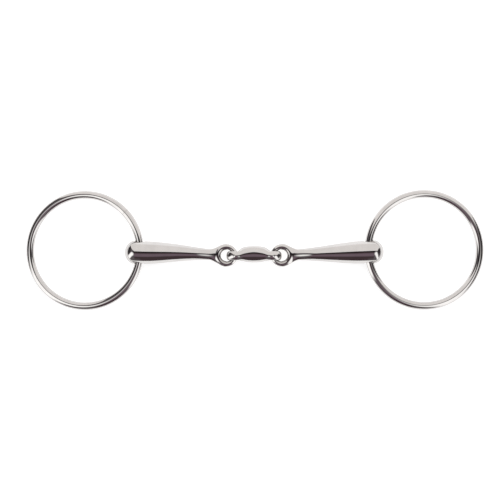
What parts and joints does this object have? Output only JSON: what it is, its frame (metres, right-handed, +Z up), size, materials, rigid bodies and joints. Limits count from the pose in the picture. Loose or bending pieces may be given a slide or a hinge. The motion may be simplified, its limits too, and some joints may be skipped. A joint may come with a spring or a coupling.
{
  "type": "snaffle bit",
  "caption": "Loose-ring horse bit: a jointed steel mouthpiece of tapered cannons and a lozenge link, bored at its ends for free-swinging rings for the cheekpieces and reins.",
  "frame": {"origin": "on the surface the bit lies on, midway between the rings", "axes": "+X along the mouthpiece towards the right ring, +Y across it in the plane it lies in, +Z up from the surface"},
  "size_m": [0.2804, 0.073, 0.0147],
  "materials": {
    "cannon_steel": "polished stainless steel, mirror bright",
    "link_steel": "polished stainless steel, mirror bright, worn satin inside its loops",
    "ring_steel": "polished stainless steel wire with a faint ground weld seam"
  },
  "bodies": {
    "centre_link": {"centre_link": "link_steel"},
    "left_cannon": {"left_cannon": "cannon_steel"},
    "right_cannon": {"right_cannon": "cannon_steel"},
    "left_ring": {"left_ring": "ring_steel"},
    "right_ring": {"right_ring": "ring_steel"}
  },
  "joints": [
    {"name": "left_fold", "type": "hinge", "parent": "centre_link", "child": "left_cannon", "pos_m": [-0.0117, -0.00338, 0.0057], "axis": [0, 1, 0], "range_deg": [-45, 45]},
    {"name": "right_fold", "type": "hinge", "parent": "centre_link", "child": "right_cannon", "pos_m": [0.0117, -0.00338, 0.0057], "axis": [0, -1, 0], "range_deg": [-45, 45]},
    {"name": "left_ring_swing", "type": "hinge", "parent": "left_cannon", "child": "left_ring", "pos_m": [-0.07014, -0.00123, 0.0073], "axis": [0.0366, 0.9993, 0], "range_deg": [-90, 90]},
    {"name": "right_ring_swing", "type": "hinge", "parent": "right_cannon", "child": "right_ring", "pos_m": [0.07014, -0.00123, 0.0073], "axis": [0.0366, -0.9993, 0], "range_deg": [-90, 90]}
  ]
}
